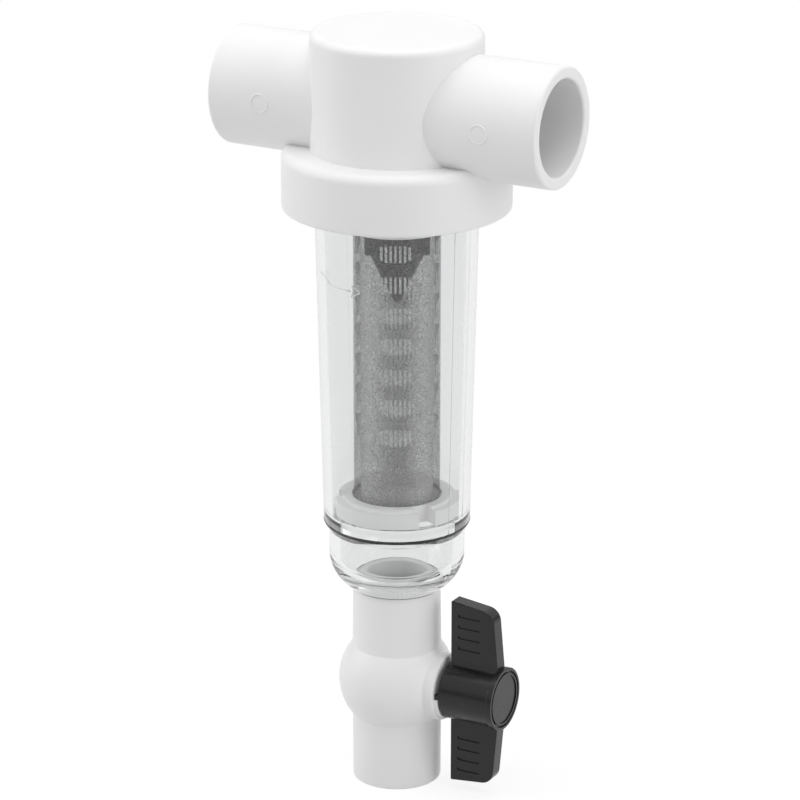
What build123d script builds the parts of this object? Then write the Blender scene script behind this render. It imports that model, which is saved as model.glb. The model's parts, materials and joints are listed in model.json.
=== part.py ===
"""Sediment filter: a tee head for a pipe line, a clear screw-on bowl with a mesh screen, and a drain valve.

Millimetres. The origin is where the pipe line's axis crosses the bowl's axis.
+X runs along the pipe line to the outlet and +Z points up, along the bowl's axis.
"""

import os
from math import asin, cos, degrees, radians, sin, sqrt

from build123d import *

# How far a cut runs past the surface it opens
CUT_MARGIN = 1.0

# Pipe ports: a socket for 1 inch pipe inside, and outside the size of 1-1/4 inch pipe
PORT_R = 21.08
PORT_HALF = 63.5
PORT_SOCKET_R = 16.75
PORT_SOCKET_DEPTH = 28.0
PORT_BORE_R = 13.3
PORT_RIM_ROUND = 1.0

# Head: an upper cylinder on a wider threaded collar
HEAD_R = 30.06
HEAD_TOP = 26.25
HEAD_TOP_ROUND = 2.6
COLLAR_R = 40.06
COLLAR_TOP = -14.9
COLLAR_BOTTOM = -35.8
COLLAR_TOP_ROUND = 3.2
COLLAR_BOTTOM_ROUND = 1.2
CAVITY_R = 34.2
CAVITY_TOP = -18.5
CHAMBER_R = 25.6
CHAMBER_TOP = 21.0

# Outlet tube inside the head, which the screen plugs into
TUBE_R = 20.6
TUBE_END = -26.0
TUBE_SOCKET_R = 17.6
TUBE_SOCKET_TOP = -14.8
TUBE_BORE_R = 14.5
TUBE_BORE_TOP = 15.0
DUCT_R = 16.6
DUCT_GAP = 0.05

# Bowl
BOWL_TOP = -19.0
BOWL_NECK_R = 32.6
BOWL_NECK_IN_R = 28.8
BOWL_SPIGOT_R = 30.9
BOWL_SEAL_SEAT = -21.4
BOWL_NECK_END = -33.0
BOWL_NECK_IN_END = -32.0
BOWL_SHOULDER_END = -38.0
BOWL_UPPER_R = 28.62
BOWL_STEP_TOP = -151.2
BOWL_STEP_END = -154.0
BOWL_STEP_R = 26.0
BOWL_BASE_R = 24.3
BOWL_CORNER_R = 24.1
BOWL_CORNER_TOP = -165.0
BOWL_CORNER_MIDDLE = (21.5, -171.6)
BOWL_BOTTOM = -176.6
BOWL_FOOT_R = 15.8
BOWL_WALL = 3.2
BOWL_LEDGE = -147.4
BOWL_BASE_IN_R = 20.3
BOWL_FLOOR = -171.0
BOWL_FLOOR_R = 20.1
BOWL_FLOOR_EDGE = -164.0
BOWL_FLOOR_MIDDLE = (18.3, -168.6)

# Seal ring on the bowl's neck
BOWL_SEAL_R = 32.35
BOWL_SEAL_SECTION_R = 1.3

# Swirl ring: slanted vanes round the screen's neck
SWIRL_BORE_R = 17.45
SWIRL_HUB_R = 19.6
SWIRL_SKIRT_R = 22.2
SWIRL_SKIRT_IN_R = 20.7
SWIRL_SKIRT_TOP = -24.0
SWIRL_SEAT = -26.2
SWIRL_FLARE_TOP = -28.4
SWIRL_FLARE_END = -31.0
SWIRL_END = -40.0
VANE_COUNT = 8
VANE_TIP_R = 24.8
VANE_THICKNESS = 1.5
VANE_TWIST = 30.0
VANE_ROOT = 1.0

# Screen: a slotted core inside a mesh sleeve, between a neck and a foot
NECK_R = 17.35
NECK_TOP = -15.2
NECK_TOP_CHAMFER = 0.8
NECK_BORE_R = 12.9
NECK_SHOULDER_R = 19.4
NECK_SHOULDER_END = -42.0
SCREEN_SEAL_Z = -21.0
SCREEN_SEAL_R = 16.38
SCREEN_SEAL_SECTION_R = 1.0
SEAL_GROOVE_R = 15.25
SEAL_GROOVE_WIDTH = 2.6
CORE_R = 14.9
CORE_IN_R = 12.9
CORE_BOTTOM = -142.3
SLOT_ROWS = 7
SLOT_COLUMNS = 4
SLOT_FIRST_Z = -48.8
SLOT_PITCH = 11.17
SLOT_WIDTH = 12.2
SLOT_HEIGHT = 5.9
SLOT_AZIMUTH = -63.0
MESH_IN_R = 14.95
MESH_R = 15.3
SEAM_R = 15.55
SEAM_WIDTH = 5.0
SEAM_AZIMUTH = 115.0

# Flow cone inside the top of the core
CONE_RIM_IN_R = 12.1
CONE_RIM = 2.0
CONE_R = 10.2
CONE_WALL = 1.2
CONE_SKIRT_END = -51.5
CONE_TIP_R = 1.2
CONE_TIP_WALL = 3.0
CONE_END = -70.0
CONE_RIBS = 3
CONE_RIB_REACH = 12.5
CONE_RIB_THICKNESS = 1.6

# Screen foot
CAP_SPIGOT_R = 12.85
CAP_SPIGOT_TOP = -137.0
CAP_R = 15.3
CAP_DISC_END = -144.3
CAP_BOSS_R = 14.0
CAP_BOSS_GAP = 0.06
CAP_WALL = 2.0
FOOT_R = 21.7
FOOT_TOP = -141.9
FOOT_STEP_R = 19.0
FOOT_STEP_GAP = 0.6
FOOT_STEP_Z = -141.0
FOOT_HOOP = 1.0
FOOT_NOTCHES = 3
FOOT_NOTCH_WIDTH = 6.2
FOOT_NOTCH_AZIMUTH = -33.0

# Drain nipple between the bowl and the valve
NIPPLE_R = 13.3
NIPPLE_IN_R = 10.8
NIPPLE_END = -196.4
NIPPLE_ROUND = 0.6

# Drain valve
VALVE_Z = -212.6
VALVE_TOP = BOWL_BOTTOM
VALVE_END = -250.6
VALVE_SOCKET_R = 13.35
VALVE_SOCKET_DEPTH = 20.0
VALVE_PIPE_R = 16.0
VALVE_PIPE_END_R = 15.65
VALVE_PIPE_LOWER_R = 15.9
VALVE_BULGE_R = 20.9
VALVE_BORE_R = 9.5
VALVE_CAVITY_R = 14.5
VALVE_EDGE_ROUND = 0.5
BOSS_R = 12.2
BOSS_END = 21.0
BOSS_ROUND = 0.8
BALL_R = 13.6
BALL_BORE_R = 8.8
SEAT_IN_R = 9.2
SEAT_R = 12.9
SEAT_GAP = 0.05
SEAT_INNER_Z = 8.6
SEAT_OUTER_Z = 11.8
CUSHION_IN_R = 10.4
CUSHION_R = 12.6
CAVITY_HALF = 12.9
CARRIER_PLUG_R = 14.45
CARRIER_PLUG_IN_R = 13.0
CARRIER_PLUG_HEIGHT = 6.0
DRAIN_SOCKET_R = 13.4
DRAIN_SOCKET_DEPTH = 18.0

# Stem, along +X
STEM_R = 4.9
STEM_BORE_R = 4.96
STEM_FLANGE_R = 6.0
STEM_FLANGE_START = 13.75
STEM_FLANGE_END = 16.0
STEM_POCKET_R = 6.2
STEM_POCKET_START = 12.5
STEM_POCKET_END = 16.1
STEM_DRIVE_END = 31.0
STEM_DRIVE_WIDTH = 6.6
TANG_START = 10.7
TANG_WIDTH = 8.0
TANG_THICKNESS = 3.0
TANG_GAP = 0.1
STEM_SEAL_X = (17.5, 19.7)
STEM_SEAL_R = 4.2
STEM_SEAL_SECTION_R = 0.7
STEM_GROOVE_R = 3.45
STEM_GROOVE_WIDTH = 1.6

# Stops that hold the handle to a quarter turn
STOP_IN_R = 9.4
STOP_R = 11.2
STOP_HEIGHT = 1.5
STOP_ARC = 79.0
STOP_MIDDLE = 45.0
LUG_R = 10.7
LUG_ARC = 10.0
LUG_MIDDLE = 180.0

# Handle
HUB_START = 22.8
HUB_R = 10.9
HUB_END = 44.0
HUB_RIM_R = 11.5
HUB_RIM_START = 41.8
HUB_GROOVE_R = 10.4
HUB_GROOVE_IN_R = 9.6
HUB_GROOVE_DEPTH = 0.8
HUB_FACE_R = 8.9
HUB_FACE_DEPTH = 0.4
HUB_POCKET_R = 8.6
HUB_POCKET_END = 25.0
WING_IN_X = 23.6
WING_TOP = 34.8
WING_THICKNESS = 6.0
WING_CORNER_X = 40.4
WING_CORNER_Z = 32.9
WING_CORNER_ROUND = 5.0
WING_ROOT_X = 43.4
WING_EDGE_ROUND = 0.5
HUB_FILLET = 2.6
HUB_RIM_ROUND = 0.25
LUG_GAP = 0.2
GRIP_X = 31.0
GRIP_LENGTH = 9.0
GRIP_WIDTH = 1.3
GRIP_DEPTH = 0.4
GRIP_FIRST_Z = 17.4
GRIP_PITCH = 4.1
GRIP_COUNT = 4

os.makedirs("parts", exist_ok=True)


def polar(radius, azimuth):
    """The point at a radius and an azimuth in degrees."""
    return radius * cos(radians(azimuth)), radius * sin(radians(azimuth))


def finish(part, label):
    """Label a finished piece and write it to its own file."""
    part.label = label
    export_step(part, f"parts/{label}.step")


def ring_profile(in_r, out_r, low, high):
    """A rectangle between two radii and two heights, on the current sketch plane."""
    with Locations(((in_r + out_r) / 2, (low + high) / 2)):
        Rectangle(out_r - in_r, high - low)


def sector(in_r, out_r, middle, angle):
    """Part of a ring between two radii, centred on an angle, on the current sketch plane."""
    reach = out_r / cos(radians(angle / 2))
    sides = [polar(reach, middle - angle / 2), polar(reach, middle + angle / 2)]
    Circle(out_r)
    Circle(in_r, mode=Mode.SUBTRACT)
    Polygon((0, 0), *sides, align=None, mode=Mode.INTERSECT)


def facing(azimuth, z):
    """Upright sketch plane through the bowl's axis at a height, facing an azimuth."""
    outward = polar(1, azimuth)
    return Plane(origin=(0, 0, z), x_dir=(-outward[1], outward[0], 0), z_dir=(*outward, 0))


def across_stem(x):
    """Sketch plane square to the stem at a distance along it."""
    return Plane(origin=(x, 0, VALVE_Z), x_dir=(0, 1, 0), z_dir=(1, 0, 0))


# Head body: cylinder and collar with a port on each side, hollow inside
with BuildPart() as head_body:
    with BuildSketch(Plane.XZ):
        with BuildLine():
            Polyline(
                (0, HEAD_TOP),
                (HEAD_R, HEAD_TOP),
                (HEAD_R, COLLAR_TOP),
                (COLLAR_R, COLLAR_TOP),
                (COLLAR_R, COLLAR_BOTTOM),
                (0, COLLAR_BOTTOM),
                close=True,
            )
        make_face()
    revolve(axis=Axis.Z)
    circles = head_body.edges().filter_by(GeomType.CIRCLE)
    fillet(circles.sort_by(Axis.Z)[-1], HEAD_TOP_ROUND)
    collar_edges = circles.sort_by(SortBy.RADIUS)[-2:].sort_by(Axis.Z)
    fillet(collar_edges[-1], COLLAR_TOP_ROUND)
    fillet(collar_edges[0], COLLAR_BOTTOM_ROUND)
    with BuildSketch(Plane.YZ):
        Circle(PORT_R)
    extrude(amount=PORT_HALF, both=True)
    with BuildSketch(Plane.XZ):
        ring_profile(0, CHAMBER_R, CAVITY_TOP, CHAMBER_TOP)
        ring_profile(0, CAVITY_R, COLLAR_BOTTOM, CAVITY_TOP)
    revolve(axis=Axis.Z, mode=Mode.SUBTRACT)
    with BuildSketch(Plane.YZ):
        Circle(PORT_BORE_R)
    extrude(amount=PORT_HALF, both=True, mode=Mode.SUBTRACT)
    for face_x in (-PORT_HALF, PORT_HALF - PORT_SOCKET_DEPTH):
        with BuildSketch(Plane.YZ.offset(face_x)):
            Circle(PORT_SOCKET_R)
        extrude(amount=PORT_SOCKET_DEPTH, mode=Mode.SUBTRACT)
    fillet(head_body.edges().group_by(Axis.X)[-1] + head_body.edges().group_by(Axis.X)[0], PORT_RIM_ROUND)
finish(head_body.part, "head_body")


# Outlet tube: it hangs in the chamber, takes the screen's neck and leads to the outlet through its duct
with BuildPart() as outlet_tube:
    with BuildSketch(Plane.YZ):
        Circle(DUCT_R)
    extrude(amount=CHAMBER_R)
    with BuildSketch(Plane.XY.offset(-DUCT_R)):
        Circle(CHAMBER_R - DUCT_GAP)
    extrude(amount=2 * DUCT_R, mode=Mode.INTERSECT)
    with BuildSketch(Plane.XY.offset(TUBE_END)):
        Circle(TUBE_R)
    extrude(amount=CHAMBER_TOP - TUBE_END)
    with BuildSketch(Plane.XY.offset(TUBE_END)):
        Circle(TUBE_SOCKET_R)
    extrude(amount=TUBE_SOCKET_TOP - TUBE_END, mode=Mode.SUBTRACT)
    with BuildSketch(Plane.XY.offset(TUBE_SOCKET_TOP)):
        Circle(TUBE_BORE_R)
    extrude(amount=TUBE_BORE_TOP - TUBE_SOCKET_TOP, mode=Mode.SUBTRACT)
    with BuildSketch(Plane.YZ):
        Circle(PORT_BORE_R)
    extrude(amount=CHAMBER_R, mode=Mode.SUBTRACT)
finish(outlet_tube.part, "outlet_tube")


# Clear bowl: threaded neck, tapered wall, ledge for the screen's foot, rounded base
def bowl_wall_r(z):
    """Outer radius of the bowl's tapered wall at a height."""
    share = (BOWL_SHOULDER_END - z) / (BOWL_SHOULDER_END - BOWL_STEP_TOP)
    return BOWL_UPPER_R + share * (BOWL_STEP_R - BOWL_UPPER_R)


with BuildPart() as bowl:
    with BuildSketch(Plane.XZ):
        with BuildLine():
            outside = Polyline(
                (BOWL_SPIGOT_R, BOWL_TOP),
                (BOWL_SPIGOT_R, BOWL_SEAL_SEAT),
                (BOWL_NECK_R, BOWL_SEAL_SEAT),
                (BOWL_NECK_R, BOWL_NECK_END),
                (BOWL_UPPER_R, BOWL_SHOULDER_END),
                (BOWL_STEP_R, BOWL_STEP_TOP),
                (BOWL_BASE_R, BOWL_STEP_END),
                (BOWL_CORNER_R, BOWL_CORNER_TOP),
            )
            ThreePointArc(outside @ 1, BOWL_CORNER_MIDDLE, (BOWL_FOOT_R, BOWL_BOTTOM))
            Polyline(
                (BOWL_FOOT_R, BOWL_BOTTOM),
                (NIPPLE_R, BOWL_BOTTOM),
                (NIPPLE_R, BOWL_FLOOR),
            )
            ThreePointArc((NIPPLE_R, BOWL_FLOOR), BOWL_FLOOR_MIDDLE, (BOWL_FLOOR_R, BOWL_FLOOR_EDGE))
            Polyline(
                (BOWL_FLOOR_R, BOWL_FLOOR_EDGE),
                (BOWL_BASE_IN_R, BOWL_LEDGE),
                (bowl_wall_r(BOWL_LEDGE) - BOWL_WALL, BOWL_LEDGE),
                (BOWL_UPPER_R - BOWL_WALL, BOWL_SHOULDER_END),
                (BOWL_NECK_IN_R, BOWL_NECK_IN_END),
                (BOWL_NECK_IN_R, BOWL_TOP),
                (BOWL_SPIGOT_R, BOWL_TOP),
            )
        make_face()
    revolve(axis=Axis.Z)
finish(bowl.part, "bowl")


# Seal ring between the bowl's neck and the head
with BuildPart() as bowl_seal_ring:
    with BuildSketch(Plane.XZ):
        with Locations((BOWL_SEAL_R, (BOWL_SEAL_SEAT + CAVITY_TOP) / 2)):
            Circle(BOWL_SEAL_SECTION_R)
    revolve(axis=Axis.Z)
finish(bowl_seal_ring.part, "bowl_seal_ring")


# One slanted vane of the swirl ring, lofted through three turned sections
with BuildPart() as vane:
    for step in (0, 0.5, 1):
        level = SWIRL_END + step * (SWIRL_FLARE_END - SWIRL_END)
        across = polar(1, step * VANE_TWIST)
        with BuildSketch(Plane(origin=(0, 0, level), x_dir=(*across, 0), z_dir=(0, 0, 1))):
            ring_profile(SWIRL_HUB_R - VANE_ROOT, VANE_TIP_R, -VANE_THICKNESS / 2, VANE_THICKNESS / 2)
    loft()

# Swirl ring: it clips over the end of the outlet tube and turns the incoming water
with BuildPart() as swirl_ring:
    with BuildSketch(Plane.XZ):
        with BuildLine():
            Polyline(
                (SWIRL_BORE_R, SWIRL_END),
                (SWIRL_HUB_R, SWIRL_END),
                (SWIRL_HUB_R, SWIRL_FLARE_END),
                (SWIRL_SKIRT_R, SWIRL_FLARE_TOP),
                (SWIRL_SKIRT_R, SWIRL_SKIRT_TOP),
                (SWIRL_SKIRT_IN_R, SWIRL_SKIRT_TOP),
                (SWIRL_SKIRT_IN_R, SWIRL_SEAT),
                (SWIRL_BORE_R, SWIRL_SEAT),
                close=True,
            )
        make_face()
    revolve(axis=Axis.Z)
    with PolarLocations(0, VANE_COUNT):
        add(vane.part)
finish(swirl_ring.part, "swirl_ring")


# Screen neck: it plugs into the head's outlet tube
with BuildPart() as screen_neck:
    with BuildSketch(Plane.XZ):
        ring_profile(NECK_BORE_R, NECK_R, SWIRL_END, NECK_TOP)
        ring_profile(NECK_BORE_R, NECK_SHOULDER_R, NECK_SHOULDER_END, SWIRL_END)
    revolve(axis=Axis.Z)
    with BuildSketch(Plane.XZ):
        ring_profile(
            SEAL_GROOVE_R,
            NECK_R + CUT_MARGIN,
            SCREEN_SEAL_Z - SEAL_GROOVE_WIDTH / 2,
            SCREEN_SEAL_Z + SEAL_GROOVE_WIDTH / 2,
        )
    revolve(axis=Axis.Z, mode=Mode.SUBTRACT)
    chamfer(screen_neck.edges().group_by(Axis.Z)[-1].sort_by(SortBy.RADIUS)[-1], NECK_TOP_CHAMFER)
finish(screen_neck.part, "screen_neck")


# Seal ring in the neck's groove
with BuildPart() as screen_seal_ring:
    with BuildSketch(Plane.XZ):
        with Locations((SCREEN_SEAL_R, SCREEN_SEAL_Z)):
            Circle(SCREEN_SEAL_SECTION_R)
    revolve(axis=Axis.Z)
finish(screen_seal_ring.part, "screen_seal_ring")


# Core: a tube with rows of rounded slots that lets the cleaned water in
with BuildPart() as screen_core:
    with BuildSketch(Plane.XZ):
        ring_profile(CORE_IN_R, CORE_R, CORE_BOTTOM, NECK_SHOULDER_END)
    revolve(axis=Axis.Z)
    for column in range(SLOT_COLUMNS):
        slot_z = SLOT_FIRST_Z - SLOT_PITCH * (SLOT_ROWS - 1) / 2
        with BuildSketch(facing(SLOT_AZIMUTH + column * 360 / SLOT_COLUMNS, slot_z)):
            with GridLocations(0, SLOT_PITCH, 1, SLOT_ROWS):
                SlotOverall(SLOT_WIDTH, SLOT_HEIGHT)
        extrude(amount=CORE_R + CUT_MARGIN, mode=Mode.SUBTRACT)
finish(screen_core.part, "screen_core")


# Mesh sleeve over the core, and its lapped seam
with BuildPart() as screen_mesh:
    with BuildSketch(Plane.XZ):
        ring_profile(MESH_IN_R, MESH_R, CORE_BOTTOM, NECK_SHOULDER_END)
    revolve(axis=Axis.Z)
finish(screen_mesh.part, "screen_mesh")

with BuildPart() as screen_seam:
    with BuildSketch(Plane.XY.offset(CORE_BOTTOM)):
        sector(MESH_R, SEAM_R, SEAM_AZIMUTH, 2 * degrees(asin(SEAM_WIDTH / 2 / MESH_R)))
    extrude(amount=NECK_SHOULDER_END - CORE_BOTTOM)
finish(screen_seam.part, "screen_seam")


# Flow cone: it hangs by three ribs from a rim in the top of the core, and the water passes round it
CONE_TOP = NECK_SHOULDER_END
with BuildPart() as flow_cone:
    with BuildSketch(Plane.XZ):
        with BuildLine():
            Polyline(
                (CONE_R, CONE_TOP - CONE_RIM),
                (CONE_R, CONE_SKIRT_END),
                (CONE_TIP_R, CONE_END),
                (0, CONE_END),
                (0, CONE_END + CONE_TIP_WALL),
                (CONE_R - CONE_WALL, CONE_SKIRT_END),
                (CONE_R - CONE_WALL, CONE_TOP - CONE_RIM),
                close=True,
            )
        make_face()
        ring_profile(CONE_RIM_IN_R, CORE_IN_R, CONE_TOP - CONE_RIM, CONE_TOP)
    revolve(axis=Axis.Z)
    with BuildSketch(Plane.XY.offset(CONE_SKIRT_END)):
        rib_in_r = CONE_R - CONE_WALL / 2
        with PolarLocations((rib_in_r + CONE_RIB_REACH) / 2, CONE_RIBS):
            Rectangle(CONE_RIB_REACH - rib_in_r, CONE_RIB_THICKNESS)
    extrude(amount=CONE_TOP - CONE_SKIRT_END)
finish(flow_cone.part, "flow_cone")


# Bottom cap that closes the core and carries the foot
with BuildPart() as screen_cap:
    with BuildSketch(Plane.XZ):
        ring_profile(0, CAP_SPIGOT_R, CORE_BOTTOM, CAP_SPIGOT_TOP)
        ring_profile(0, CAP_R, CAP_DISC_END, CORE_BOTTOM)
        ring_profile(0, CAP_BOSS_R, BOWL_LEDGE, CAP_DISC_END)
    revolve(axis=Axis.Z)
    with BuildSketch(Plane.XY.offset(CAP_SPIGOT_TOP)):
        Circle(CAP_SPIGOT_R - CAP_WALL)
    extrude(amount=CAP_DISC_END - CAP_SPIGOT_TOP + CAP_WALL, mode=Mode.SUBTRACT)
    with BuildSketch(Plane.XY.offset(BOWL_LEDGE)):
        Circle(CAP_BOSS_R - CAP_WALL)
    extrude(amount=CAP_DISC_END - BOWL_LEDGE, mode=Mode.SUBTRACT)
finish(screen_cap.part, "screen_cap")


# Foot ring: it centres the screen on the bowl's ledge, and its notches let the sediment fall through
with BuildPart() as screen_foot:
    with BuildSketch(Plane.XZ):
        ring_profile(CAP_BOSS_R + CAP_BOSS_GAP, FOOT_R, BOWL_LEDGE, CAP_DISC_END)
        ring_profile(CAP_R + CAP_BOSS_GAP, FOOT_R, CAP_DISC_END, CORE_BOTTOM)
        ring_profile(CAP_R + FOOT_STEP_GAP, FOOT_R, CORE_BOTTOM, FOOT_TOP)
        ring_profile(CAP_R + FOOT_STEP_GAP, FOOT_STEP_R, FOOT_TOP, FOOT_STEP_Z)
    revolve(axis=Axis.Z)
    for notch in range(FOOT_NOTCHES):
        outward = polar(1, FOOT_NOTCH_AZIMUTH + notch * 360 / FOOT_NOTCHES)
        with BuildSketch(Plane(origin=(0, 0, BOWL_LEDGE), x_dir=(*outward, 0), z_dir=(0, 0, 1))):
            ring_profile(
                CAP_R + FOOT_HOOP, FOOT_R + CUT_MARGIN, -FOOT_NOTCH_WIDTH / 2, FOOT_NOTCH_WIDTH / 2
            )
        extrude(amount=FOOT_STEP_Z - BOWL_LEDGE, mode=Mode.SUBTRACT)
finish(screen_foot.part, "screen_foot")


# Drain nipple cemented through the bowl's base into the valve
with BuildPart() as drain_nipple:
    with BuildSketch(Plane.XZ):
        ring_profile(NIPPLE_IN_R, NIPPLE_R, NIPPLE_END, BOWL_FLOOR)
    revolve(axis=Axis.Z)
    fillet(drain_nipple.edges().group_by(Axis.Z)[-1], NIPPLE_ROUND)
finish(drain_nipple.part, "drain_nipple")


# Valve body: upper socket, round bulge over the ball, and the stem's boss
JOINT_Z = VALVE_Z - sqrt(VALVE_BULGE_R**2 - VALVE_PIPE_R**2)
with BuildPart() as valve_body:
    with BuildSketch(Plane.XZ):
        with BuildLine():
            Polyline(
                (0, JOINT_Z),
                (0, VALVE_TOP),
                (VALVE_PIPE_END_R, VALVE_TOP),
                (VALVE_PIPE_R, 2 * VALVE_Z - JOINT_Z),
            )
            bulge = ThreePointArc(
                (VALVE_PIPE_R, 2 * VALVE_Z - JOINT_Z), (VALVE_BULGE_R, VALVE_Z), (VALVE_PIPE_R, JOINT_Z)
            )
            Line(bulge @ 1, (0, JOINT_Z))
        make_face()
    revolve(axis=Axis.Z)
    with BuildSketch(across_stem(VALVE_CAVITY_R)):
        Circle(BOSS_R)
    extrude(amount=BOSS_END - VALVE_CAVITY_R)
    fillet(valve_body.edges().group_by(Axis.X)[-1], BOSS_ROUND)
    with BuildSketch(Plane.XZ):
        ring_profile(0, VALVE_CAVITY_R, JOINT_Z, VALVE_Z + CAVITY_HALF)
        ring_profile(0, VALVE_BORE_R, VALVE_Z + CAVITY_HALF, VALVE_TOP)
        ring_profile(0, VALVE_SOCKET_R, VALVE_TOP - VALVE_SOCKET_DEPTH, VALVE_TOP)
    revolve(axis=Axis.Z, mode=Mode.SUBTRACT)
    with BuildSketch(across_stem(STEM_POCKET_START)):
        Circle(STEM_POCKET_R)
    extrude(amount=STEM_POCKET_END - STEM_POCKET_START, mode=Mode.SUBTRACT)
    with BuildSketch(across_stem(STEM_POCKET_START)):
        Circle(STEM_BORE_R)
    extrude(amount=BOSS_END, mode=Mode.SUBTRACT)
    for middle in (STOP_MIDDLE, STOP_MIDDLE + 180):
        with BuildSketch(across_stem(BOSS_END)):
            sector(STOP_IN_R, STOP_R, middle, STOP_ARC)
        extrude(amount=STOP_HEIGHT)
finish(valve_body.part, "valve_body")


# End carrier: the lower pipe socket, whose plug holds the lower seat
with BuildPart() as valve_end_carrier:
    with BuildSketch(Plane.XZ):
        with BuildLine():
            Polyline(
                (VALVE_BORE_R, VALVE_END + DRAIN_SOCKET_DEPTH),
                (DRAIN_SOCKET_R, VALVE_END + DRAIN_SOCKET_DEPTH),
                (DRAIN_SOCKET_R, VALVE_END),
                (VALVE_PIPE_LOWER_R, VALVE_END),
                (VALVE_PIPE_R, JOINT_Z),
                (CARRIER_PLUG_R, JOINT_Z),
                (CARRIER_PLUG_R, JOINT_Z + CARRIER_PLUG_HEIGHT),
                (CARRIER_PLUG_IN_R, JOINT_Z + CARRIER_PLUG_HEIGHT),
                (CARRIER_PLUG_IN_R, VALVE_Z - CAVITY_HALF),
                (VALVE_BORE_R, VALVE_Z - CAVITY_HALF),
                close=True,
            )
        make_face()
    revolve(axis=Axis.Z)
    fillet(valve_end_carrier.edges().group_by(Axis.Z)[0].sort_by(SortBy.RADIUS)[-1], VALVE_EDGE_ROUND)
finish(valve_end_carrier.part, "valve_end_carrier")


# Ball, shown open: bored through, with a slot for the stem's tang
with BuildPart() as valve_ball:
    with Locations((0, 0, VALVE_Z)):
        Sphere(BALL_R)
        Cylinder(BALL_BORE_R, 3 * BALL_R, mode=Mode.SUBTRACT)
    with Locations((TANG_START + BALL_R, 0, VALVE_Z)):
        Box(2 * BALL_R + 2 * TANG_GAP, TANG_THICKNESS + 2 * TANG_GAP, 3 * BALL_R, mode=Mode.SUBTRACT)
finish(valve_ball.part, "valve_ball")


def seat_rings(side, name):
    """Ball seat and its cushion, above the ball for side 1 and below it for side -1."""
    with BuildPart() as seat:
        with BuildSketch(Plane.XZ):
            low, high = sorted((VALVE_Z + side * SEAT_INNER_Z, VALVE_Z + side * SEAT_OUTER_Z))
            ring_profile(SEAT_IN_R, SEAT_R, low, high)
        revolve(axis=Axis.Z)
        with Locations((0, 0, VALVE_Z)):
            Sphere(BALL_R + SEAT_GAP, mode=Mode.SUBTRACT)
    finish(seat.part, f"ball_seat_{name}")
    with BuildPart() as cushion:
        with BuildSketch(Plane.XZ):
            low, high = sorted((VALVE_Z + side * SEAT_OUTER_Z, VALVE_Z + side * CAVITY_HALF))
            ring_profile(CUSHION_IN_R, CUSHION_R, low, high)
        revolve(axis=Axis.Z)
    finish(cushion.part, f"seat_cushion_{name}")


seat_rings(1, "upper")
seat_rings(-1, "lower")


# Stem: tang in the ball, flange behind the boss, two seal grooves, square drive in the handle
with BuildPart() as valve_stem:
    with BuildSketch(across_stem(STEM_FLANGE_START)):
        Circle(STEM_FLANGE_R)
    extrude(amount=STEM_FLANGE_END - STEM_FLANGE_START)
    with BuildSketch(across_stem(STEM_FLANGE_END)):
        Circle(STEM_R)
    extrude(amount=HUB_START - STEM_FLANGE_END)
    with BuildSketch(across_stem(HUB_START)):
        Rectangle(STEM_DRIVE_WIDTH, STEM_DRIVE_WIDTH)
    extrude(amount=STEM_DRIVE_END - HUB_START)
    with BuildSketch(across_stem(TANG_START)):
        Rectangle(TANG_THICKNESS, TANG_WIDTH)
    extrude(amount=STEM_FLANGE_START - TANG_START)
    for seal_x in STEM_SEAL_X:
        with BuildSketch(across_stem(seal_x - STEM_GROOVE_WIDTH / 2)):
            Circle(STEM_R + CUT_MARGIN)
            Circle(STEM_GROOVE_R, mode=Mode.SUBTRACT)
        extrude(amount=STEM_GROOVE_WIDTH, mode=Mode.SUBTRACT)
finish(valve_stem.part, "valve_stem")

STEM_AXIS = Axis((0, 0, VALVE_Z), (1, 0, 0))
for seal_x, name in zip(STEM_SEAL_X, ("inner", "outer")):
    with BuildPart() as stem_seal:
        with BuildSketch(Plane.XZ):
            with Locations((seal_x, VALVE_Z + STEM_SEAL_R)):
                Circle(STEM_SEAL_SECTION_R)
        revolve(axis=STEM_AXIS)
    finish(stem_seal.part, f"stem_seal_{name}")


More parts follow.
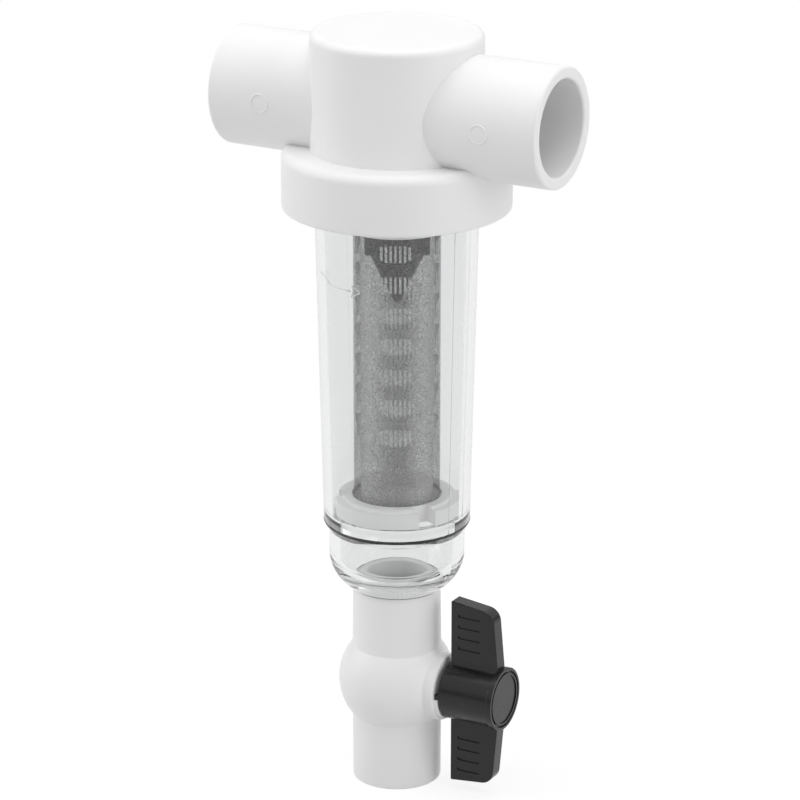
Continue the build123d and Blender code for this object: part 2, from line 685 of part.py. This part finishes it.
# Handle: round hub with a rim, two wings with grip marks, and lugs that meet the stops
with BuildPart() as valve_handle:
    with BuildSketch(across_stem(HUB_START)):
        Circle(HUB_R)
        Rectangle(WING_THICKNESS, 2 * WING_TOP)
        fillet(vertices().filter_by(lambda v: abs(v.Z - VALVE_Z) < HUB_R), HUB_FILLET)
    extrude(amount=HUB_END - HUB_START)
    with BuildSketch(Plane.XZ):
        with BuildLine():
            Polyline(
                (WING_IN_X, VALVE_Z + WING_TOP),
                (WING_CORNER_X, VALVE_Z + WING_CORNER_Z),
                (WING_ROOT_X, VALVE_Z),
                (WING_CORNER_X, VALVE_Z - WING_CORNER_Z),
                (WING_IN_X, VALVE_Z - WING_TOP),
                close=True,
            )
        make_face()
        fillet(vertices().filter_by(lambda v: v.X == WING_CORNER_X), WING_CORNER_ROUND)
    extrude(amount=WING_TOP, both=True, mode=Mode.INTERSECT)
    fillet(valve_handle.edges(), WING_EDGE_ROUND)
    with BuildSketch(across_stem(HUB_START)):
        Circle(HUB_R)
    extrude(amount=HUB_END - HUB_START)
    with BuildSketch(across_stem(HUB_RIM_START)):
        Circle(HUB_RIM_R)
    extrude(amount=HUB_END - HUB_RIM_START)
    rims = valve_handle.edges().filter_by(GeomType.CIRCLE).filter_by(lambda edge: edge.radius > HUB_R)
    fillet(rims.group_by(SortBy.RADIUS)[-1], HUB_RIM_ROUND)
    with BuildSketch(across_stem(HUB_END - HUB_GROOVE_DEPTH)):
        Circle(HUB_GROOVE_R)
        Circle(HUB_GROOVE_IN_R, mode=Mode.SUBTRACT)
    extrude(amount=HUB_GROOVE_DEPTH, mode=Mode.SUBTRACT)
    with BuildSketch(across_stem(HUB_END - HUB_FACE_DEPTH)):
        Circle(HUB_FACE_R)
    extrude(amount=HUB_FACE_DEPTH, mode=Mode.SUBTRACT)
    with BuildSketch(across_stem(HUB_START)):
        Circle(HUB_POCKET_R)
    extrude(amount=HUB_POCKET_END - HUB_START, mode=Mode.SUBTRACT)
    with BuildSketch(across_stem(HUB_START)):
        Rectangle(STEM_DRIVE_WIDTH, STEM_DRIVE_WIDTH)
    extrude(amount=STEM_DRIVE_END - HUB_START, mode=Mode.SUBTRACT)
    for middle in (LUG_MIDDLE, LUG_MIDDLE + 180):
        with BuildSketch(across_stem(BOSS_END + LUG_GAP)):
            sector(STOP_IN_R, LUG_R, middle, LUG_ARC)
        extrude(amount=HUB_POCKET_END - BOSS_END)
    for side in (1, -1):
        first = VALVE_Z + side * GRIP_FIRST_Z
        last = first + side * GRIP_PITCH * (GRIP_COUNT - 1)
        for face_y in (-1, 1):
            with BuildSketch(Plane.XZ.offset(-face_y * (WING_THICKNESS / 2 - GRIP_DEPTH))):
                with Locations((GRIP_X, (first + last) / 2)):
                    with GridLocations(0, GRIP_PITCH, 1, GRIP_COUNT):
                        SlotOverall(GRIP_LENGTH, GRIP_WIDTH)
            extrude(amount=-face_y * GRIP_DEPTH * 2, mode=Mode.SUBTRACT)
finish(valve_handle.part, "valve_handle")
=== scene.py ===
"""Looks of the sediment filter: finishes, threads, moulded marks, floor, lights and camera. Metres."""

import json
import math

import bmesh
import bpy
from mathutils import Matrix, Vector


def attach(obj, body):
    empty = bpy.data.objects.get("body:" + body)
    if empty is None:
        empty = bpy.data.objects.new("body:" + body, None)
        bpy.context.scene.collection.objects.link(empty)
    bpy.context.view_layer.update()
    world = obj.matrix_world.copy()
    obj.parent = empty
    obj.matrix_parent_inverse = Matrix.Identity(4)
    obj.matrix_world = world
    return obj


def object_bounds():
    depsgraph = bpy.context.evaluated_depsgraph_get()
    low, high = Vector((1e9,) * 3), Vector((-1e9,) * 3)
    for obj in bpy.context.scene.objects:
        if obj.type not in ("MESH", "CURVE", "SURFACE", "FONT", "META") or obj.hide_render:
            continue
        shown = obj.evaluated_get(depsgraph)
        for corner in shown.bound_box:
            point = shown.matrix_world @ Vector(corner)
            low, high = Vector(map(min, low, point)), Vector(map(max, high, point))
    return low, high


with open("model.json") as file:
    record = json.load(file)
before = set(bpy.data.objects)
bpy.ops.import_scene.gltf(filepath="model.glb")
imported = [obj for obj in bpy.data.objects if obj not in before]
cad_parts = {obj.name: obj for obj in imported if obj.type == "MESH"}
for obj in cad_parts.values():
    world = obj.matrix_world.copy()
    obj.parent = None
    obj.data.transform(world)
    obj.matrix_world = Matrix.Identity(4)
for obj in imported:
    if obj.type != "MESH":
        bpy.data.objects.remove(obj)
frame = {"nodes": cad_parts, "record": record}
cad_low, cad_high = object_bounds()
scene = bpy.context.scene
scene.view_settings.view_transform = "Standard"

MM = 0.001
FULL_TURN = 2 * math.pi

# Sizes of the CAD solids that the looks follow
PORT_R = 21.08 * MM
BOWL_WALL_TOP = (28.62 * MM, -38.0 * MM)
BOWL_WALL_END = (26.0 * MM, -151.2 * MM)
SCREEN_R = 15.3 * MM
SLOT_ROWS = 7
SLOT_COLUMNS = 4
SLOT_FIRST_Z = -48.8 * MM
SLOT_PITCH = 11.17 * MM
SLOT_HALF_WIDTH = 6.1 * MM
SLOT_HALF_HEIGHT = 2.95 * MM
SLOT_AZIMUTH = -63.0
FLOOR_Z = cad_low[2]


# Shader building
def node(tree, kind, operation=None, **inputs):
    """A shader node; each input is a value to set or a socket to link."""
    made = tree.nodes.new("ShaderNode" + kind)
    if operation:
        made.operation = operation
    for name, value in inputs.items():
        fill(tree, made.inputs[name.replace("_", " ")], value)
    return made


def fill(tree, place, value):
    """Set an input's value, or link it to a socket."""
    if isinstance(value, bpy.types.NodeSocket):
        tree.links.new(value, place)
    else:
        place.default_value = value


def compute(tree, operation, *values):
    """The result of one Math node."""
    made = node(tree, "Math", operation)
    for place, value in zip(made.inputs, values):
        fill(tree, place, value)
    return made.outputs["Value"]


def square(tree, value):
    """A value times itself."""
    return compute(tree, "MULTIPLY", value, value)


def new_finish(name, roughness, **sockets):
    """A material, its node tree and its Principled shader, with uniform values on the shader's sockets."""
    made = bpy.data.materials.new(name)
    made.use_nodes = True
    shader = made.node_tree.nodes["Principled BSDF"]
    shader.inputs["Roughness"].default_value = roughness
    for socket, value in sockets.items():
        shader.inputs[socket.replace("_", " ")].default_value = value
    return made, made.node_tree, shader


def noise(tree, scale, detail=3.0, stretch=(1, 1, 1)):
    """Noise on the object's own coordinates; the scale is in features per metre."""
    where = node(tree, "TexCoord").outputs["Object"]
    where = node(tree, "Mapping", Vector=where, Scale=stretch).outputs["Vector"]
    return node(tree, "TexNoise", Vector=where, Scale=scale, Detail=detail).outputs["Fac"]


def own_place(tree):
    """X, Y and Z of the object's own coordinates."""
    return node(tree, "SeparateXYZ", Vector=node(tree, "TexCoord").outputs["Object"]).outputs


def angle_round(tree, place):
    """The angle of a place round the Z axis, in radians."""
    return compute(tree, "ARCTAN2", place["Y"], place["X"])


def light_rays(tree):
    """One for shadow and diffuse rays, and nought for all others."""
    path = node(tree, "LightPath").outputs
    return compute(tree, "MAXIMUM", path["Is Shadow Ray"], path["Is Diffuse Ray"])


def spread(tree, value, low, high, start=0.3, end=0.7):
    """A value that runs from low to high while the given one runs from start to end."""
    made = node(tree, "MapRange", Value=value, From_Min=start, From_Max=end, To_Min=low, To_Max=high)
    return made.outputs["Result"]


def mottle(tree, shader, value, dark, light, start=0.3, end=0.7):
    """Base colour that drifts between two colours."""
    ramp = node(tree, "ValToRGB", Fac=value)
    for stop, place, colour in zip(ramp.color_ramp.elements, (start, end), (dark, light)):
        stop.position = place
        stop.color = (*colour, 1)
    tree.links.new(ramp.outputs["Color"], shader.inputs["Base Color"])


def vary_roughness(tree, shader, value, low, high):
    """Roughness that drifts between two values."""
    tree.links.new(spread(tree, value, low, high), shader.inputs["Roughness"])


def relief(tree, shader, height, depth, strength):
    """Fine relief of a given depth."""
    bump = node(tree, "Bump", Strength=strength, Distance=depth, Height=height)
    tree.links.new(bump.outputs["Normal"], shader.inputs["Normal"])


def let_light_in(tree, shader, clear):
    """Shadow and diffuse rays go straight through, so that light reaches what is inside."""
    straight = node(tree, "BsdfTransparent", Color=(*clear, 1)).outputs["BSDF"]
    mix = node(tree, "MixShader", Fac=light_rays(tree))
    tree.links.new(shader.outputs["BSDF"], mix.inputs[1])
    tree.links.new(straight, mix.inputs[2])
    tree.links.new(mix.outputs["Shader"], tree.nodes["Material Output"].inputs["Surface"])


def grey(level, warmth=0.0):
    """A neutral colour, slightly warmer or cooler."""
    return level + warmth, level, level - warmth


# Opaque finishes
def white_pvc():
    """Satin white moulding with a faint drift in tone."""
    made, tree, shader = new_finish("white_pvc", roughness=0.42, Specular_IOR_Level=0.35)
    mottle(tree, shader, noise(tree, 18), dark=grey(0.85), light=grey(0.875))
    vary_roughness(tree, shader, noise(tree, 60), low=0.36, high=0.5)
    relief(tree, shader, noise(tree, 2600, detail=2), depth=0.03 * MM, strength=0.35)
    return made


def white_plastic():
    """Natural white plastic of the inner mouldings."""
    made, tree, shader = new_finish("white_plastic", roughness=0.5)
    mottle(tree, shader, noise(tree, 40), dark=grey(0.86, 0.005), light=grey(0.9, 0.005))
    vary_roughness(tree, shader, noise(tree, 90), low=0.42, high=0.58)
    relief(tree, shader, noise(tree, 1800, detail=2), depth=0.04 * MM, strength=0.4)
    return made


def seat_white():
    """Waxy white of the ball's seats."""
    made, tree, shader = new_finish("seat_white", roughness=0.35)
    mottle(tree, shader, noise(tree, 70), dark=grey(0.87, 0.01), light=grey(0.91, 0.01))
    relief(tree, shader, noise(tree, 1500, detail=2), depth=0.03 * MM, strength=0.4)
    return made


def seal_rubber():
    """Dull black rubber."""
    made, tree, shader = new_finish("seal_rubber", roughness=0.55)
    mottle(tree, shader, noise(tree, 120), dark=grey(0.016), light=grey(0.03))
    relief(tree, shader, noise(tree, 2400, detail=2), depth=0.05 * MM, strength=0.5)
    return made


def black_plastic():
    """Black moulding with a fine spark-eroded grain."""
    made, tree, shader = new_finish("black_plastic", roughness=0.24, Specular_IOR_Level=0.36)
    mottle(tree, shader, noise(tree, 50), dark=grey(0.006), light=grey(0.011))
    vary_roughness(tree, shader, noise(tree, 140), low=0.2, high=0.3)
    relief(tree, shader, noise(tree, 1700, detail=2), depth=0.06 * MM, strength=0.5)
    return made


# Clear and translucent finishes
def clear_plastic():
    """Clear moulding, faintly grey, with a slight waviness from the mould."""
    made, tree, shader = new_finish("clear_plastic", roughness=0.02, Transmission_Weight=1.0, IOR=1.54)
    tone = noise(tree, 30, stretch=(1, 1, 0.3))
    mottle(tree, shader, tone, dark=(0.835, 0.842, 0.845), light=(0.86, 0.867, 0.868))
    waves = noise(tree, 220, detail=4, stretch=(1, 1, 0.15))
    relief(tree, shader, waves, depth=0.03 * MM, strength=0.15)
    let_light_in(tree, shader, clear=(0.97, 0.975, 0.975))
    return made


def painted_highlight_mark():
    """Whitish plastic for a raised mark on the clear bowl, painting the highlight that its raised edges
    catch.
    """
    made, tree, shader = new_finish("painted_highlight_mark", roughness=0.35, Transmission_Weight=0.3, IOR=1.54)
    mottle(tree, shader, noise(tree, 400), dark=grey(0.9), light=grey(0.97))
    relief(tree, shader, noise(tree, 3000, detail=2), depth=0.02 * MM, strength=0.4)
    return made


def core_plastic():
    """Thin clear walls of the core, which hardly bend what is behind them; greyer where the slots are."""
    made, tree, shader = new_finish("core_plastic", roughness=0.05, Transmission_Weight=1.0, IOR=1.001)
    angle = angle_round(tree, own_place(tree))
    from_slot = compute(tree, "SUBTRACT", angle, math.radians(SLOT_AZIMUTH))
    column = compute(tree, "COSINE", compute(tree, "MULTIPLY", from_slot, SLOT_COLUMNS))
    by_column = spread(tree, column, low=0.7, high=0.1, start=-1, end=1)
    drift = noise(tree, 60, stretch=(1, 1, 0.4))
    tone = compute(tree, "MULTIPLY_ADD", drift, 0.2, by_column)
    mottle(tree, shader, tone, dark=grey(0.72), light=grey(0.95), start=0.3, end=0.75)
    let_light_in(tree, shader, clear=grey(0.93))
    return made


def rib_plastic():
    """Milky plastic that lets much of the light through."""
    made, tree, shader = new_finish("rib_plastic", roughness=0.4, Transmission_Weight=0.2, IOR=1.02)
    mottle(tree, shader, noise(tree, 300), dark=grey(0.86), light=grey(0.94))
    let_light_in(tree, shader, clear=grey(0.8))
    return made


def painted_shade_plastic():
    """Dark clear plastic for painted shade on the bowl's edges."""
    made, tree, shader = new_finish("painted_shade_plastic", roughness=0.05, Transmission_Weight=1.0, IOR=1.3)
    mottle(tree, shader, noise(tree, 60), dark=grey(0.05), light=grey(0.09))
    return made


# Woven steel: only the outer skin of the sleeve and its seam shows, and light passes more easily than sight
WIRE_PITCH = 0.45 * MM
WIRE_SHARE_OF_TONE = 0.12
SPECK_SCALE = 2200
SKIN_R = 15.1 * MM
SEAM_COVER = 0.3
LIGHT_SHARE = 0.45


def steel_mesh(name="steel_mesh", cover_share=1.0):
    """Fine woven wire, about half of it open."""
    made, tree, shader = new_finish(name, roughness=0.42, Metallic=0.6)
    place = own_place(tree)
    arc = compute(tree, "MULTIPLY", angle_round(tree, place), SCREEN_R)
    wires = [
        compute(tree, "SINE", compute(tree, "MULTIPLY", along, FULL_TURN / WIRE_PITCH))
        for along in (arc, place["Z"])
    ]
    weave = compute(tree, "MAXIMUM", *wires)
    speck = noise(tree, SPECK_SCALE, detail=1)
    tone = compute(tree, "ADD", compute(tree, "MULTIPLY", weave, WIRE_SHARE_OF_TONE), speck)
    mottle(tree, shader, tone, dark=grey(0.02), light=grey(0.23), start=0.42, end=0.7)
    relief(tree, shader, weave, depth=0.05 * MM, strength=0.5)
    wire_cover = spread(tree, weave, low=-0.14, high=0.14, start=-0.2, end=1.0)
    cover = compute(tree, "ADD", wire_cover, spread(tree, speck, low=0.0, high=0.72))
    share = spread(tree, light_rays(tree), cover_share, cover_share * LIGHT_SHARE, start=0, end=1)
    cover = compute(tree, "MULTIPLY", cover, share)
    out_r = compute(tree, "SQRT", compute(tree, "ADD", square(tree, place["X"]), square(tree, place["Y"])))
    skin = compute(tree, "GREATER_THAN", out_r, SKIN_R)
    tree.links.new(compute(tree, "MULTIPLY", skin, cover), shader.inputs["Alpha"])
    return made


finishes = {
    make.__name__: make()
    for make in (white_pvc, clear_plastic, white_plastic, steel_mesh, seal_rubber, seat_white, black_plastic)
}
own_finishes = {"screen_core": core_plastic(), "screen_seam": steel_mesh("steel_seam", SEAM_COVER)}
for subpart in frame["record"]["subparts"]:
    made = own_finishes.get(subpart["node"], finishes[subpart["material_slot"]])
    for place in frame["nodes"][subpart["node"]].material_slots:
        place.material = made


# Building of added pieces
BEAD_SIDES = 8


def add_piece(name, shape, slot, body, finish=None):
    """A new piece from a bmesh, with the finish of a slot or its own, riding on a body."""
    bmesh.ops.recalc_face_normals(shape, faces=shape.faces)
    mesh = bpy.data.meshes.new(name)
    shape.to_mesh(mesh)
    shape.free()
    mesh.materials.append(finish or finishes[slot])
    piece = bpy.data.objects.new(name, mesh)
    scene.collection.objects.link(piece)
    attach(piece, body)


def skin_rings(shape, rings, closed=False):
    """Faces between rings of vertices, with caps at the ends unless the row of rings is closed."""
    pairs = list(zip(rings, rings[1:]))
    if closed:
        pairs.append((rings[-1], rings[0]))
    count = len(rings[0])
    for one, two in pairs:
        for side in range(count):
            after = (side + 1) % count
            shape.faces.new((one[side], one[after], two[after], two[side]))
    if not closed:
        shape.faces.new(rings[0])
        shape.faces.new(rings[-1][::-1])


def bead(points, radius, closed=False):
    """A round bead along points."""
    shape = bmesh.new()
    rings = []
    count = len(points)
    turns = [step / BEAD_SIDES * FULL_TURN for step in range(BEAD_SIDES)]
    side = None
    for place, point in enumerate(points):
        ahead = points[(place + 1) % count] if closed else points[min(place + 1, count - 1)]
        behind = points[place - 1] if closed else points[max(place - 1, 0)]
        way = (ahead - behind).normalized()
        side = (side - way * side.dot(way)).normalized() if side else way.orthogonal().normalized()
        up = way.cross(side)
        spokes = [math.cos(turn) * side + math.sin(turn) * up for turn in turns]
        rings.append([shape.verts.new(point + radius * spoke) for spoke in spokes])
    skin_rings(shape, rings, closed)
    for face in shape.faces:
        face.smooth = True
    return shape


# Threads of the bowl and of the head, which don't engage: the head's crest clears the bowl's seal
THREAD_PITCH = 3.0 * MM
THREAD_WIDTH = 1.5 * MM
THREAD_STEPS = 72
THREAD_SECTION = (-0.5, -0.2, 0.2, 0.5)
THREAD_FADES_PER_TURN = 6
THREAD_LEAST_FADE = 0.02


def thread(root, crest, top, bottom, start=0.0):
    """A helical ridge between two radii; its ends run out into the wall."""
    shape = bmesh.new()
    turns = (top - bottom - THREAD_WIDTH) / THREAD_PITCH
    steps = int(turns * THREAD_STEPS)
    rings = []
    for step in range(steps + 1):
        share = step / steps
        done = share * turns
        left = (1 - share) * turns
        fade = min(1, done * THREAD_FADES_PER_TURN, left * THREAD_FADES_PER_TURN)
        fade = max(THREAD_LEAST_FADE, fade)
        peak = root + (crest - root) * fade
        middle = bottom + THREAD_WIDTH / 2 + done * THREAD_PITCH
        turned = Matrix.Rotation(start + done * FULL_TURN, 3, "Z")
        section = zip((root, peak, peak, root), THREAD_SECTION)
        corners = [Vector((r, 0, middle + z * THREAD_WIDTH)) for r, z in section]
        rings.append([shape.verts.new(turned @ corner) for corner in corners])
    skin_rings(shape, rings)
    return shape


bowl_thread = thread(root=32.55 * MM, crest=33.55 * MM, top=-22.4 * MM, bottom=-33.0 * MM)
head_thread = thread(root=34.25 * MM, crest=33.73 * MM, top=-21.9 * MM, bottom=-35.2 * MM, start=math.pi)
add_piece("bowl_thread", bowl_thread, "clear_plastic", "bowl")
add_piece("head_thread", head_thread, "white_pvc", "head")


# Thin upright ribs that bridge each slot of the core under the mesh
RIB_COUNT = 7
RIB_PITCH = 1.6 * MM
RIB_WIDTH = 0.75 * MM
RIB_DEPTH = 0.6 * MM
RIB_R = 14.4 * MM


def slot_ribs():
    """Boxes as high as the slot is where they stand, in every slot of every column."""
    shape = bmesh.new()
    straight = SLOT_HALF_WIDTH - SLOT_HALF_HEIGHT
    for rib in range(RIB_COUNT):
        across = (rib - (RIB_COUNT - 1) / 2) * RIB_PITCH
        drop = max(0.0, abs(across) - straight)
        tall = 2 * math.sqrt(SLOT_HALF_HEIGHT**2 - drop**2)
        size = Matrix.Diagonal((RIB_DEPTH, RIB_WIDTH, tall, 1))
        for column in range(SLOT_COLUMNS):
            facing = math.radians(SLOT_AZIMUTH + column * 360 / SLOT_COLUMNS) + math.asin(across / RIB_R)
            turned = Matrix.Rotation(facing, 4, "Z") @ Matrix.Translation((RIB_R, 0, 0))
            for row in range(SLOT_ROWS):
                down = Matrix.Translation((0, 0, SLOT_FIRST_Z - row * SLOT_PITCH))
                bmesh.ops.create_cube(shape, size=1.0, matrix=down @ turned @ size)
    return shape


add_piece("core_slot_ribs", slot_ribs(), "clear_plastic", "screen", rib_plastic())


# A thin raised circle on the viewer's side of each port
PORT_MARK_X = 42.4 * MM
PORT_MARK_R = 3.2 * MM
PORT_MARK_BEAD_R = 0.25 * MM
PORT_MARK_STEPS = 48


def port_circle(middle_x):
    """Points of a circle laid on the port's outside."""
    points = []
    for step in range(PORT_MARK_STEPS):
        turn = step / PORT_MARK_STEPS * FULL_TURN
        rise = PORT_MARK_R * math.sin(turn) / PORT_R
        across = middle_x + PORT_MARK_R * math.cos(turn)
        points.append(Vector((across, -PORT_R * math.cos(rise), PORT_R * math.sin(rise))))
    return points


for name, middle_x in (("inlet_mark", -PORT_MARK_X), ("outlet_mark", PORT_MARK_X)):
    add_piece(name, bead(port_circle(middle_x), PORT_MARK_BEAD_R, closed=True), "white_pvc", "head")


# A turning arrow and the mould's parting lines on the bowl, in degrees of azimuth and millimetres of height
ARROW_HEAD = [(-87.7, -59.6), (-94.0, -57.6), (-93.2, -59.4), (-94.9, -61.7)]
ARROW_SHAFT = [
    (-132, -56.7),
    (-126, -56.9),
    (-121, -57.4),
    (-118.5, -58.3),
    (-116, -59.2),
    (-110, -59.6),
    (-95.5, -59.6),
]
ARROW_HEAD_STEPS = 5
ARROW_HEAD_BEAD_R = 0.24 * MM
ARROW_SHAFT_STEPS = 4
ARROW_SHAFT_BEAD_R = 0.12 * MM
PARTING_AZIMUTH = -17.0
PARTING_STEPS = 12
PARTING_BEAD_R = 0.07 * MM


def on_bowl(azimuth, z):
    """The point on the bowl's tapered wall at an azimuth in degrees and a height."""
    share = (BOWL_WALL_TOP[1] - z) / (BOWL_WALL_TOP[1] - BOWL_WALL_END[1])
    radius = BOWL_WALL_TOP[0] + share * (BOWL_WALL_END[0] - BOWL_WALL_TOP[0])
    return Vector((radius * math.cos(math.radians(azimuth)), radius * math.sin(math.radians(azimuth)), z))


def bowl_route(corners, steps, closed=False):
    """Points on the bowl's wall along a route of azimuths in degrees and heights in millimetres."""
    ends = corners[1:] + corners[:1] if closed else corners[1:]
    points = []
    for (turn, z), (next_turn, next_z) in zip(corners, ends):
        for step in range(steps):
            share = step / steps
            points.append(on_bowl(turn + share * (next_turn - turn), (z + share * (next_z - z)) * MM))
    if not closed:
        points.append(on_bowl(corners[-1][0], corners[-1][1] * MM))
    return points


arrow_head = bead(bowl_route(ARROW_HEAD, ARROW_HEAD_STEPS, closed=True), ARROW_HEAD_BEAD_R, closed=True)
arrow_shaft = bead(bowl_route(ARROW_SHAFT, ARROW_SHAFT_STEPS), ARROW_SHAFT_BEAD_R)
# The arrow head's white outline is a painted highlight on its raised edges.
add_piece("bowl_arrow_head", arrow_head, "clear_plastic", "bowl", painted_highlight_mark())
add_piece("bowl_arrow_shaft", arrow_shaft, "clear_plastic", "bowl")
for name, opposite in (("bowl_parting_line_right", 0), ("bowl_parting_line_left", 180)):
    azimuth = PARTING_AZIMUTH + opposite
    ends = [(azimuth, BOWL_WALL_TOP[1] / MM), (azimuth, BOWL_WALL_END[1] / MM)]
    add_piece(name, bead(bowl_route(ends, PARTING_STEPS), PARTING_BEAD_R), "clear_plastic", "bowl")


# Thin dark bands of painted shade: the dark refraction under the bowl's wall and the shadow in the gap at
# its foot, from sections of radii and heights in millimetres
STEP_SECTION = [(26.0, -150.7), (26.14, -151.0), (25.78, -151.9), (25.62, -151.75)]
FOOT_SECTION = [(15.9, -175.9), (16.35, -176.0), (16.2, -176.5), (15.9, -176.5)]
EDGE_STEPS = 144


def edge_ring(section):
    """A closed band round the bowl with the given section."""
    shape = bmesh.new()
    rings = []
    for step in range(EDGE_STEPS):
        turned = Matrix.Rotation(step / EDGE_STEPS * FULL_TURN, 3, "Z")
        rings.append([shape.verts.new(turned @ Vector((r, 0, z)) * MM) for r, z in section])
    skin_rings(shape, rings, closed=True)
    return shape


# Both bands are painted shade: the step band stands in for dark refraction, the foot band for the shadow
# under the bowl.
painted_shade_finish = painted_shade_plastic()
add_piece("bowl_step_painted_shade", edge_ring(STEP_SECTION), "clear_plastic", "bowl", painted_shade_finish)
add_piece("bowl_foot_painted_shadow", edge_ring(FOOT_SECTION), "clear_plastic", "bowl", painted_shade_finish)


# Floor: plain white where it is seen, with a soft share of the object's shadow near it
FLOOR_R = 12.0
FLOOR_SIDES = 96
FLOOR_SHADE = 0.18
FLOOR_LIFT = 0.84
FLOOR_SCATTER = 0.7
SHADE_START = 0.12
SHADE_END = 0.35

disc = bmesh.new()
bmesh.ops.create_circle(disc, cap_ends=True, radius=FLOOR_R, segments=FLOOR_SIDES)
floor_mesh = bpy.data.meshes.new("floor")
disc.to_mesh(floor_mesh)
disc.free()
floor = bpy.data.objects.new("floor", floor_mesh)
scene.collection.objects.link(floor)
floor.location.z = FLOOR_Z
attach(floor, "bowl")


def floor_finish():
    """Pale floor that lamps and shadows reach, and that eyes and clear plastic see as white."""
    made = bpy.data.materials.new("floor")
    made.use_nodes = True
    tree = made.node_tree
    tree.nodes.remove(tree.nodes["Principled BSDF"])
    path = node(tree, "LightPath").outputs
    seen = compute(tree, "MAXIMUM", path["Is Camera Ray"], path["Is Glossy Ray"])
    seen = compute(tree, "MAXIMUM", seen, path["Is Transmission Ray"])
    reach = node(tree, "VectorMath", "LENGTH")
    tree.links.new(node(tree, "TexCoord").outputs["Object"], reach.inputs[0])
    away = reach.outputs["Value"]
    far = node(tree, "MapRange", Value=away, From_Min=SHADE_START, From_Max=SHADE_END)
    far.interpolation_type = "SMOOTHSTEP"
    far = compute(tree, "MULTIPLY", far.outputs["Result"], seen)
    share = spread(tree, seen, FLOOR_SCATTER, FLOOR_SHADE, start=0, end=1)
    share = compute(tree, "MULTIPLY", share, compute(tree, "SUBTRACT", 1.0, far))
    lift = compute(tree, "MULTIPLY", seen, spread(tree, far, FLOOR_LIFT, 1.0, start=0, end=1))
    tone = node(tree, "CombineColor", Red=share, Green=share, Blue=share).outputs["Color"]
    lit = node(tree, "BsdfDiffuse", Color=tone)
    glow = node(tree, "Emission", Strength=lift)
    both = node(tree, "AddShader")
    tree.links.new(lit.outputs["BSDF"], both.inputs[0])
    tree.links.new(glow.outputs["Emission"], both.inputs[1])
    tree.links.new(both.outputs["Shader"], tree.nodes["Material Output"].inputs["Surface"])
    return made


floor_mesh.materials.append(floor_finish())


# World: white where it is seen, dark cards low down for gloss and clear plastic, a soft fill for the rest
FILL = 0.5
CARD_LEVEL = 0.25
CARD_TOP = 0.08
CARD_FADE = 0.3

world = bpy.data.worlds.new("studio")
world.use_nodes = True
scene.world = world
tree = world.node_tree
path = node(tree, "LightPath").outputs
height = node(tree, "SeparateXYZ", Vector=node(tree, "TexCoord").outputs["Generated"]).outputs["Z"]
cards = spread(tree, height, CARD_LEVEL, 1.0, start=CARD_TOP, end=CARD_FADE)
seen = compute(tree, "MAXIMUM", path["Is Glossy Ray"], path["Is Transmission Ray"])
level = compute(tree, "MULTIPLY_ADD", seen, compute(tree, "SUBTRACT", cards, FILL), FILL)
level = compute(tree, "MAXIMUM", level, path["Is Camera Ray"])
sky = tree.nodes["Background"]
sky.inputs["Color"].default_value = (1, 1, 1, 1)
tree.links.new(level, sky.inputs["Strength"])


# Softboxes, with sizes in metres and power in watts
def softbox(name, place, target, width, height, power):
    """A rectangular area lamp that faces a point."""
    lamp = bpy.data.lights.new(name, "AREA")
    lamp.shape = "RECTANGLE"
    lamp.size = width
    lamp.size_y = height
    lamp.energy = power
    box = bpy.data.objects.new(name, lamp)
    scene.collection.objects.link(box)
    box.location = place
    box.rotation_mode = "QUATERNION"
    box.rotation_quaternion = (Vector(target) - Vector(place)).to_track_quat("-Z", "Y")


softbox("overhead", (0.0, 0.0, 1.5), target=(0, 0, 0), width=1.6, height=1.6, power=16)
softbox("left", (-1.4, -0.65, 0.4), target=(0, 0, -0.1), width=0.9, height=1.3, power=7.5)
softbox("right", (1.55, -0.15, 0.35), target=(0, 0, -0.1), width=0.7, height=1.2, power=6.5)

# Camera at the photograph's viewing angle, fitted to its outlines
LENS = 167.3
SENSOR_WIDTH = 36
SHIFT_X = 0.0038
CAMERA_AIM = Vector((0, 0, -107.1 * MM))
CAMERA_BACK = Vector((0.45735, -0.82577, 0.33002)).normalized()
CAMERA_DISTANCE = 1.310

camera_data = bpy.data.cameras.new("camera")
camera_data.lens = LENS
camera_data.sensor_width = SENSOR_WIDTH
camera_data.shift_x = SHIFT_X
camera = bpy.data.objects.new("camera", camera_data)
scene.collection.objects.link(camera)
camera.location = CAMERA_AIM + CAMERA_BACK * CAMERA_DISTANCE
camera.rotation_mode = "QUATERNION"
camera.rotation_quaternion = (-CAMERA_BACK).to_track_quat("-Z", "Y")
scene.camera = camera
